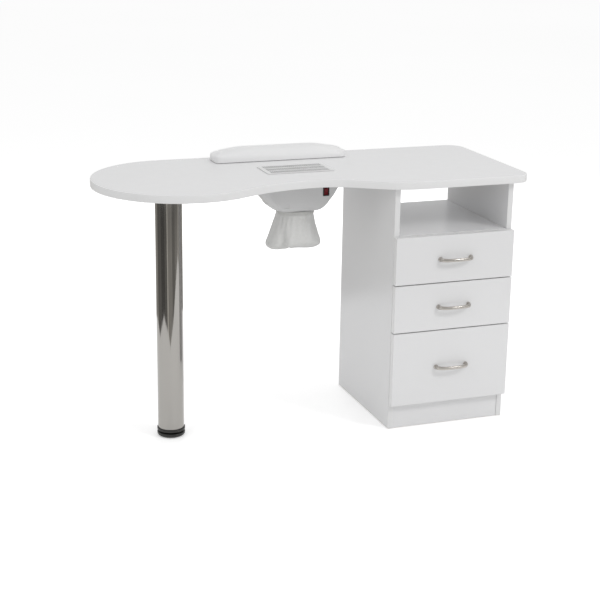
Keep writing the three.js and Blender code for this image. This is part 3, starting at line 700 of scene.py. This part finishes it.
def build_leg():
    radius, low, high = extent("leg_tube")
    bore = radius - 1.5
    bm = leg_part([(bore, low + 5), (bore, low), (radius, low), (radius, high), (bore, high), (bore, low + 5.1)],
                  [0.3, 0.5, 0.5, 0.3], 128)
    piece("leg_pipe", "table", bm, [CHROME], ["leg_tube"])

    radius, low, high = extent("leg_mounting_plate")
    plug, seat = 36.2, high - 4
    bm = leg_part([(0, low), (plug, low), (plug, seat), (radius, seat), (radius, high), (0, high)],
                  [2, 0.5, 0.8, 0.3])
    for angle in (45, 135, 225, 315):
        add_screw(bm, LEG + polar(47.5, math.radians(angle), seat) * MM, -Z, 4 * MM, 1.6 * MM)
    # BLACK here is also the painted shade in the screws' cross recesses.
    piece("leg_flange", "table", bm, [ZINC, BLACK], ["leg_mounting_plate"])

    radius, low, high = extent("leg_bottom_insert")
    bore, rim = 5.3, low + 9
    bm = leg_part([(bore, low), (radius - 1.2, low), (radius, low + 1.5), (radius, rim - 1), (radius - 1.4, rim),
                   (plug, rim), (plug, high), (bore, high)], [0.8, 0.8, 0.9, 0.8, 0.2, 0.8])
    piece("leg_collar", "table", bm, [BLACK], ["leg_bottom_insert"])

    radius, low, high = extent("foot_pad")
    bm = leg_part([(0, 0), (radius - 7, 0), (radius - 3, 2), (radius, 5.5), (radius, high - 1.5),
                   (radius - 2.2, high), (14, high), (13, high + 0.1), (0, high + 0.1)],
                  [0.6, 1.2, 1.6, 1.2, 1.0, 0.1, 0.1])
    piece("foot_disc", "levelling_foot", bm, [BLACK], ["foot_pad"])


def build_spindle():
    """A threaded rod: one start, 1.5 mm pitch, with a plain tip."""
    low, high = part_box("foot_spindle")
    radius, depth, pitch, count = 5 * MM, 0.9 * MM, 1.5 * MM, 32
    length = high.z - low.z - 1.2 * MM
    steps = int(length / pitch * 6)
    rings = []
    for i in range(steps + 1):
        z = low.z + length * i / steps
        ring = []
        for k in range(count):
            phase = (z / pitch - k / count) % 1.0
            ring.append(LEG + polar(radius - depth * abs(2 * phase - 1), 2 * math.pi * k / count, z))
        rings.append(ring)
    rings.append([LEG + (p - LEG).xy.to_3d() * 0.8 + Z * high.z for p in rings[-1]])
    piece("foot_screw", "foot_carriage", skin(rings, caps=True), [STEEL], ["foot_spindle"])


build_leg()
build_spindle()


# ---------------------------------------------------------------- dust extractor
def rounded_rectangle(a, b, r, step=7.5):
    count = int(90 / step)
    points = []
    for k, (sx, sy) in enumerate(((1, 1), (-1, 1), (-1, -1), (1, -1))):
        corner = Vector((sx * (a - r), sy * (b - r), 0))
        points += [corner + polar(r, math.radians(90 * k + step * i)) for i in range(count + 1)]
    return points


GRILLE_LOW, GRILLE_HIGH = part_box("extractor_grille")
EXTRACTOR = middle("extractor_grille")


def build_grille():
    """A plate on a grid of faces that leaves the slots out, and a skirt that drops into the cut-out."""
    top, flange, depth = GRILLE_HIGH.z, 2.5 * MM, GRILLE_HIGH.z - GRILLE_LOW.z
    half_x, half_y = (GRILLE_HIGH.x - GRILLE_LOW.x) / 2, (GRILLE_HIGH.y - GRILLE_LOW.y) / 2
    slot_pitch, row_pitch = 6, 34.5
    half_width, half_length = 1.7 * MM, 14.5 * MM
    slots = [(i - 14.5) * slot_pitch * MM for i in range(30)]
    rows = [(k - 1) * row_pitch * MM for k in range(3)]
    xs = sorted([-half_x, half_x] + [x + d * half_width for x in slots for d in (-1, 1)])
    ys = sorted([-half_y, half_y] + [y + d * half_length for y in rows for d in (-1, 1)])
    bm = bmesh.new()
    grid = [[bm.verts.new((x, y, top)) for y in ys] for x in xs]
    for i in range(len(xs) - 1):
        for j in range(len(ys) - 1):
            if i % 2 == 1 and j % 2 == 1:
                continue
            bm.faces.new((grid[i][j], grid[i + 1][j], grid[i + 1][j + 1], grid[i][j + 1]))
    made = bmesh.ops.extrude_face_region(bm, geom=bm.faces[:])
    moved = [v for v in made["geom"] if isinstance(v, bmesh.types.BMVert)]
    bmesh.ops.translate(bm, verts=moved, vec=(0, 0, -flange))
    outward(bm)
    corners = [e for e in bm.edges if abs(e.verts[0].co.z - e.verts[1].co.z) > 1e-6
               and abs(abs(e.verts[0].co.x) - half_x) < 1e-6 and abs(abs(e.verts[0].co.y) - half_y) < 1e-6]
    bmesh.ops.bevel(bm, geom=corners, offset=5 * MM, segments=6, profile=0.5, affect="EDGES")
    # The extrusion leaves the edges in another order in every run, which decides which ones dissolve.
    bm.verts.index_update()
    bm.edges.sort(key=lambda e: len(bm.verts) * min(v.index for v in e.verts) + max(v.index for v in e.verts))
    bmesh.ops.dissolve_limit(bm, angle_limit=math.radians(0.5), verts=bm.verts, edges=bm.edges)
    outer, inner = rounded_rectangle(0.092, 0.052, 0.005), rounded_rectangle(0.090, 0.050, 0.003)
    levels = [(outer, top - flange), (outer, top - depth), (inner, top - depth), (inner, top - flange)]
    merge(bm, skin([[p + Z * z for p in outline] for outline, z in levels], loop=True))
    bmesh.ops.translate(bm, verts=bm.verts, vec=EXTRACTOR)
    piece("grille_plate", "grille", bm, [GRILLE_WHITE], ["extractor_grille"], 0.45 * MM)


HOUSING = [  # height, half length, half depth
    (723.6, 133.2, 62), (722.5, 132.4, 62), (694, 118.5, 62), (674, 106.4, 62), (661.5, 95.8, 62),
    (659.5, 94.2, 61.8), (647, 85.5, 59.6), (642.5, 80.5, 58.2), (639.8, 76.5, 56.8), (637.6, 72, 55.2),
    (635.8, 67, 53.4), (635, 63, 52),
]
HOUSING_TOP, HOUSING_FLOOR, OUTLET_RADIUS, SHELL = 724.75, 635, 50, 3  # millimetres


def housing_ring(z, a, b, cut_x=16, cut_y=24):
    """A rectangle with flat chamfers and softly rounded edges between its eight sides."""
    corners = [Vector(corner) for corner in (
        (a, cut_y - b), (a, b - cut_y), (a - cut_x, b), (cut_x - a, b), (-a, b - cut_y), (-a, cut_y - b),
        (cut_x - a, -b), (a - cut_x, -b))]
    points = []
    for k, here in enumerate(corners):
        points += rounded_corner(corners[k - 1], here, corners[(k + 1) % 8], 3.5, 4)
    return [EXTRACTOR + Vector((p.x, p.y, z)) * MM for p in points]


def build_housing():
    bm = bmesh.new()
    rings = [housing_ring(HOUSING_TOP, 142, 74, 30), housing_ring(HOUSING_TOP, 135.2, 64.4)]
    rings += [housing_ring(*level) for level in HOUSING]
    spokes = (math.atan2(p.y - EXTRACTOR.y, p.x - EXTRACTOR.x) for p in rings[-1])
    rings.append([EXTRACTOR + polar(OUTLET_RADIUS, angle, HOUSING_FLOOR) * MM for angle in spokes])
    add_rings(bm, rings)
    outward(bm)
    if sum(f.normal.z * f.calc_area() for f in bm.faces) > 0:
        bmesh.ops.reverse_faces(bm, faces=bm.faces)
    housing = piece("housing_shell", "table", bm, [PLASTIC, SHADED_INSIDE], ["extractor_housing"])
    # The wall's inner faces take the second material: the painted shade inside the housing.
    solid = housing.modifiers.new("wall", "SOLIDIFY")
    solid.thickness, solid.offset, solid.material_offset = SHELL * MM, -1, 1
    cutters = []

    def cutter(place, size, tilt=0.0):
        bpy.ops.mesh.primitive_cube_add(size=1, location=place)
        block = bpy.context.object
        block.scale = [length * MM for length in size]
        block.rotation_euler.x = tilt
        cutters.append(block)
        hole = housing.modifiers.new("hole", "BOOLEAN")
        hole.object, hole.solver = block, "EXACT"

    for node, size in (("switch_frame", (15.8, 24, 23.8)), ("cable_gland", (12.8, 24, 12.8))):
        low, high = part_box(node)
        cutter((low + high) / 2, size)
    # A shallow finger recess in the sloping lower part of the front.
    cutter(EXTRACTOR + Vector((-46, -61.6, 652)) * MM, (14, 5, 9.5), math.atan2(2.2, 12.5))
    bpy.context.view_layer.update()
    baked(housing)
    for block in cutters:
        bpy.data.objects.remove(block)
    bm = bmesh.new()
    bm.from_mesh(housing.data)
    bmesh.ops.remove_doubles(bm, verts=bm.verts, dist=1e-6)
    sharpen(bm, 40)
    bm.to_mesh(housing.data)
    bm.free()
    housing.data.shade_smooth()


build_grille()
build_housing()
refined("outlet_ring", "outlet_collar", "table", PLASTIC, 0.3 * MM)
refined("switch_bezel", "switch_frame", "table", BLACK, 0.5 * MM, 3)
refined("switch_key", "switch_rocker", "rocker", RED, 0.5 * MM, 3)
refined("motor_can", "fan_motor", "table", ZINC, 0.4 * MM)
refined("fan_wheel", "fan_impeller", "fan", BLACK, 0.3 * MM)
refined("cord_gland", "cable_gland", "table", BLACK, 0.3 * MM)


# ---------------------------------------------------------------- dust bag
BAG_LEVELS = [  # height, half length, half depth, squareness, shift along x
    (634, 52.6, 52.6, 2, 0), (629, 52.8, 52.6, 2, 0), (622, 54.6, 53.4, 2, -1),
    (615, 57.6, 54.8, 2.02, -2), (607, 60.6, 56.2, 2.05, -3), (597, 63.8, 57.6, 2.1, -3.6),
    (584, 68, 59.2, 2.15, -3.8), (571, 71.8, 60.5, 2.2, -4), (558, 75.2, 61.4, 2.25, -4.2),
    (547, 78.4, 61.6, 2.3, -4.4), (539, 80.8, 60, 2.3, -4.5), (532.5, 81.4, 55.5, 2.3, -4.5),
    (528, 79.6, 48, 2.3, -4.5), (524.5, 75.5, 38, 2.2, -4.5), (522, 70, 26, 2.1, -4.5),
    (521, 65, 10, 2, -4.5),
]
CREASES = [  # depth, degrees, turn on the way down, width, how its depth grows, 1 if it fades low down
    (-15, 219, 5, 0.15, 1.3, 0), (3, 238, 5, 0.14, 1, 0), (7, 168, 0, 0.55, 2, 0), (3.5, 345, 0, 0.5, 2, 0),
    (-7, 62, -5, 0.17, 1, 0), (-3, 318, 0, 0.2, 1, 1), (-3, 160, 0, 0.2, 1, 1),
]
BAG_TOP, BAG_LENGTH = 634, 120


def superellipse(a, b, power, angle):
    c, s = math.cos(angle), math.sin(angle)
    return polar((abs(c / a) ** power + abs(s / b) ** power) ** (-1 / power), angle)


def interpolate(levels, t):
    """A row of numbers at t along the levels, by Catmull-Rom."""
    at = min(int(t), len(levels) - 2)
    near = (levels[min(max(k, 0), len(levels) - 1)] for k in (at - 1, at, at + 1, at + 2))
    return [catmull_rom(*column, t - at) for column in zip(*near)]


def bump_at(angle, centre, width):
    """1 at an angle round the bag, falling off to both sides."""
    turn = (angle - math.radians(centre) + math.pi) % (2 * math.pi) - math.pi
    return math.exp(-(turn / width) ** 2)


def build_bag():
    """The cloth is gathered into the hem, flares, and ends in two soft lobes with a crease between them."""
    around, down = 168, 64
    rings = []
    for j in range(down + 1):
        z, a, b, power, shift = interpolate(BAG_LEVELS, (len(BAG_LEVELS) - 1) * j / down)
        drop = (BAG_TOP - z) / BAG_LENGTH
        low = smoothstep(0.72, 1.0, drop)
        gather = smoothstep(0.06, 0.16, drop) * (1 - smoothstep(0.2, 0.8, drop))
        slack = 0.9 * (1 - low) * smoothstep(0.1, 0.5, drop)
        reach = smoothstep(0.12, 0.95, drop)
        ring = []
        for i in range(around):
            angle = 2 * math.pi * i / around
            p = superellipse(a, b, power, angle)
            out = p.normalized()
            folds = gather * math.sin(19 * angle + 2.4 * math.sin(3 * angle) + 1.1 * math.sin(5 * angle))
            folds += slack * math.sin(9 * angle + 3 * math.sin(2 * angle) + 1)
            crease = sum(depth * bump_at(angle, at + turn * drop, width) * reach ** growth * (1 - fade * low)
                         for depth, at, turn, width, growth, fade in CREASES)
            spot = Vector((p.x / 36, p.y / 36, z / 60)) + Vector((3, 1, 7))
            wave = 1.8 * smoothstep(0.2, 0.8, drop) * noise.noise(spot)
            p += out * (folds + crease + wave)
            sag = -5.0 * bump_at(angle, 194, 0.5) * low - 4.0 * bump_at(angle, 345, 0.6) * low
            lift = 11.0 * (bump_at(angle, 222, 0.2) + 0.6 * bump_at(angle, 60, 0.25)) * low
            ring.append(EXTRACTOR + Vector((p.x + shift, p.y, z + sag + lift)) * MM)
        rings.append(ring)
    bm = bmesh.new()
    close_ring(bm, add_rings(bm, rings)[-1])
    outward(bm)
    bag = piece("filter_bag", "bag", bm, [NON_WOVEN], ["dust_bag"])
    hold = [1.0 if v.co.z > 0.6185 else 0.0 for v in bag.data.vertices]
    drape(bag, hold, pressure=0.6, gravity=0.3, frames=16, cap=3 * MM, mass=0.15, stiffness=15, bending=0.8)
    solid = bag.modifiers.new("cloth", "SOLIDIFY")
    solid.thickness, solid.offset = 0.6 * MM, -1
    return bag


def drape(obj, hold, pressure, gravity, frames, cap, mass, stiffness, bending):
    """Runs the cloth and keeps its result. hold is 1 where a point stays, and cap is the most it may move."""
    scene = bpy.context.scene
    rest = [v.co.copy() for v in obj.data.vertices]
    group = obj.vertex_groups.new(name="hold")
    for i, weight in enumerate(hold):
        if weight > 0:
            group.add([i], weight, "REPLACE")
    modifier = obj.modifiers.new("Cloth", "CLOTH")
    cloth = modifier.settings
    cloth.quality = 7
    cloth.mass = mass
    cloth.tension_stiffness = cloth.compression_stiffness = stiffness
    cloth.shear_stiffness = stiffness / 2
    cloth.bending_stiffness = bending
    cloth.air_damping = 3
    cloth.vertex_group_mass = "hold"
    cloth.use_pressure = pressure != 0
    cloth.uniform_pressure_force = pressure
    cloth.effector_weights.gravity = gravity
    modifier.collision_settings.use_collision = False
    modifier.collision_settings.use_self_collision = False
    modifier.point_cache.frame_start, modifier.point_cache.frame_end = 1, frames
    for f in range(1, frames + 1):
        scene.frame_set(f)
    graph = bpy.context.evaluated_depsgraph_get()
    moved = [v.co.copy() for v in obj.evaluated_get(graph).data.vertices]
    obj.modifiers.remove(modifier)
    obj.vertex_groups.remove(group)
    for v, start, end in zip(obj.data.vertices, rest, moved):
        step = end - start
        if step.length > cap:
            step *= cap / step.length
        v.co = start + step
    obj.data.update()
    scene.frame_set(1)


BAG = build_bag()


def build_elastic():
    """The gathered hem: a ribbed band round the bag's mouth."""
    low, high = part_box("bag_elastic")
    inner, outer, count = 53.4, 56.2, 180
    bottom, top = low.z / MM, high.z / MM
    rings = []
    for r, z in rounded_profile([(inner, bottom), (outer, bottom), (outer, top), (inner, top)], [1.2, 1.2]):
        ring = []
        for k in range(count):
            angle = 2 * math.pi * k / count
            pucker = 0.35 * math.sin(30 * angle + 1.3 * math.sin(5 * angle)) * (r - inner) / (outer - inner)
            ring.append(EXTRACTOR + polar(r + pucker, angle, z) * MM)
        rings.append(ring)
    return piece("hem_elastic", "bag", skin(rings, loop=True), [ELASTIC], ["bag_elastic"])


HEM = build_elastic()


# ---------------------------------------------------------------- armrest
def cushion_outline(a, b, front, rear):
    """A rectangle with small round corners at the front and large ones at the back, in even steps."""
    corners = ((1, 1, rear), (-1, 1, rear), (-1, -1, front), (1, -1, front))
    arcs = []
    for k, (sx, sy, r) in enumerate(corners):
        steps = 14 if sy > 0 else 9
        angles = (math.pi / 2 * (k + i / steps) for i in range(steps + 1))
        arcs.append([Vector((sx * (a - r) + r * math.cos(t), sy * (b - r) + r * math.sin(t))) for t in angles])
    points = []
    for k, corner_points in enumerate(arcs):
        points += corner_points
        start, end = corner_points[-1], arcs[(k + 1) % 4][0]
        between = 62 if k % 2 == 0 else 8
        points += [start.lerp(end, i / (between + 1)) for i in range(1, between + 1)]
    return points


def build_armrest():
    low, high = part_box("armrest_cushion")
    board_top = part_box("armrest_base")[1].z
    refined("armrest_board", "armrest_base", "armrest", FIBREBOARD, 0.4 * MM)
    centre = (low + high) / 2
    half_x, half_y = (high.x - low.x) / 2 / MM, (high.y - low.y) / 2 / MM
    roof = (board_top - low.z) / MM + 0.35
    # Height and inset of each outline, from the ceiling of the board's recess round the side to the crest.
    levels = [(roof, 49.5), (roof, 40), (roof, 30), (roof, 20), (roof, 9.2), (2.0, 9.0), (0.5, 8.2), (0.0, 6.0),
              (0.1, 2.0), (0.9, 1.6), (4.5, 1.5), (10, 1.5), (14.5, 1.6), (18, 2.2), (20.6, 3.8), (22.6, 6.6),
              (24.6, 10.5), (26.4, 15), (28.0, 20), (29.3, 25), (30.3, 30), (31.0, 35), (31.4, 40), (31.6, 45),
              (31.7, 49.5)]
    rings = []
    for rise, inset in levels:
        outline = cushion_outline(half_x - inset, half_y - inset, max(20 - inset, 2.6), max(46 - inset, 2.6))
        ring = []
        for p in outline:
            taper = 1 - 0.16 * smoothstep(0.55, 1.0, abs(p.x) / half_x) * smoothstep(18, 30, rise)
            ring.append(Vector((centre.x + p.x * MM, centre.y + p.y * MM, low.z + rise * taper * MM)))
        rings.append(ring)
    bm = bmesh.new()
    rows = add_rings(bm, rings)
    for row in (rows[0], rows[-1]):
        close_ring(bm, row, 7)
    outward(bm)
    cushion = piece("armrest_pad", "armrest", bm, [LEATHERETTE], ["armrest_cushion"])
    hold = [1.0 if v.co.z < low.z + 5 * MM or
            (v.co.z < low.z + roof * MM + 1e-5 and
             abs(v.co.x - centre.x) < (half_x - 8.9) * MM and abs(v.co.y - centre.y) < (half_y - 8.9) * MM)
            else 0.0 for v in cushion.data.vertices]
    drape(cushion, hold, pressure=4, gravity=0, frames=20, cap=5 * MM, mass=0.3, stiffness=15, bending=0.5)
    fine = cushion.modifiers.new("smooth", "SUBSURF")
    fine.levels = fine.render_levels = 1
    bpy.context.view_layer.update()
    baked(cushion)
    cushion.data.shade_smooth()


build_armrest()


# ---------------------------------------------------------------- brackets
for end_name in ("front", "rear"):
    for side_name in SIDES:
        node_name = f"{end_name}_{side_name}_bracket"
        refined(f"angle_{end_name}_{side_name}", node_name, "table", ZINC, 0.3 * MM)


# ---------------------------------------------------------------- stage
def on_stage(name, mesh, materials, hidden):
    """Something that is no part of the table, and that the named kinds of ray don't meet."""
    for material in materials:
        mesh.materials.append(material)
    obj = bpy.data.objects.new(name, mesh)
    bpy.context.scene.collection.objects.link(obj)
    for ray in hidden:
        setattr(obj, f"visible_{ray}", False)


def flat_square(half, z):
    mesh = bpy.data.meshes.new("square")
    mesh.from_pydata([(-half, -half, z), (half, -half, z), (half, half, z), (-half, half, z)], [], [range(4)])
    return mesh


def paper(name, glow):
    """Matt white paper, burnt out to white by a glow of its own."""
    material, tree, shader, place = new_material(name, Roughness=0.9, Emission_Strength=glow,
                                                 Specular_IOR_Level=0, Emission_Color=(1, 1, 1, 1))
    tone = two_colours(tree, noise_texture(tree, place, 0.4), grey(0.92), grey(0.93))
    tree.links.new(tone, shader.inputs["Base Color"])
    return material


# What the leg mirrors, by the direction from the leg. Each row holds the degrees and the distance from the
# leg at which a strip ends and the next one starts, and how light the strip is.
FIRST_DEGREES, FIRST_NEAR, STRIP_END = 90, 1.15, 9
REFLECTED = [
    (132, 1.15, 0.42), (145, 1.05, 0.42), (162, 0.9, 0.17), (185, 1.05, 0.17), (207, 1.22, 0.09), (218, 1.1, 0.09),
    (237, 0.98, 0.17), (246, 0.92, 0.72), (258, 0.76, 0.38), (281, 1.05, 0.38), (292, 1.25, 0.2), (306, 1.7, 0.2),
    (332, 2.6, 0.28), (352, 2.0, 0.5), (372, 1.3, 0.5), (450, 1.15, 0.34),
]


def build_studio():
    """The studio beyond the white paper, which only the polished parts see."""
    centre = LEG + Z * 0.004
    bm = bmesh.new()
    tones = []
    start, near_start = FIRST_DEGREES, FIRST_NEAR
    for k, (end, near_end, tone) in enumerate(REFLECTED):
        warm = (tone * 1.25, tone * 1.21, tone * 1.13)
        tones.append(painted(f"studio_{k}", warm, (0.8, 0.9), vary=0.12, patch=1.2))
        steps = max(2, (end - start) // 4)
        for i in range(steps):
            a, b = (math.radians(start + (end - start) * (i + d) / steps) for d in (0, 1))
            near_a, near_b = (near_start + (near_end - near_start) * (i + d) / steps for d in (0, 1))
            corners = ((a, near_a), (b, near_b), (b, STRIP_END), (a, STRIP_END))
            bm.faces.new([bm.verts.new(centre + polar(r, t)) for t, r in corners]).material_index = k
        start, near_start = end, near_end
    on_stage("dark_studio", mesh_from(bm), tones, ("camera", "diffuse", "shadow", "transmission"))


def softbox(name, place, target, size, power, mirrored=True):
    light = bpy.data.lights.new(name, "AREA")
    light.shape, light.size, light.size_y, light.energy = "RECTANGLE", size[0], size[1], power
    obj = bpy.data.objects.new(name, light)
    bpy.context.scene.collection.objects.link(obj)
    obj.location = place
    obj.rotation_mode = "QUATERNION"
    obj.rotation_quaternion = (Vector(target) - Vector(place)).to_track_quat("-Z", "Y")
    obj.visible_glossy = mirrored


def build_stage():
    floor_size, wall_distance, under_floor = 90, 60, -0.0005
    on_stage("floor", flat_square(floor_size, under_floor), [paper("paper_floor", 0.34)], ("diffuse", "shadow"))
    # What throws light back up: duller than the paper, which the camera sees burnt out to white.
    dull = painted("dull_floor", grey(0.85), (0.85, 0.95), vary=0.01, patch=0.5)
    on_stage("floor_bounce", flat_square(floor_size, 2 * under_floor), [dull],
             ("camera", "glossy", "transmission"))
    # The paper goes on up far behind, so that a low view has no horizon. Only the camera sees it.
    wall = bmesh.new()
    add_rings(wall, [circle(wall_distance, z, 48) for z in (under_floor, wall_distance)])
    on_stage("backdrop", mesh_from(wall), [paper("paper_wall", 0.39)],
             ("diffuse", "shadow", "glossy", "transmission"))
    build_studio()

    world = bpy.data.worlds.new("studio")
    bpy.context.scene.world = world
    world.use_nodes = True
    background = world.node_tree.nodes["Background"]
    background.inputs["Color"].default_value = (1, 1, 1, 1)
    background.inputs["Strength"].default_value = 0.68

    softbox("key", (2.2, -2.75, 2.95), (0.3, 0, 0.55), (0.7, 0.7), 33)
    softbox("fill", (-3.0, -1.5, 2.65), (-0.2, 0, 0.6), (1.6, 1.6), 11)
    softbox("rear", (0.85, 3.2, 1.15), (0.3, 0.1, 0.66), (1.2, 0.8), 22, False)
    softbox("overhead", (0, 0.2, 3.4), (0, 0.2, 0.7), (2.6, 2.0), 7, False)
    bpy.context.scene.view_settings.view_transform = "Standard"


build_stage()
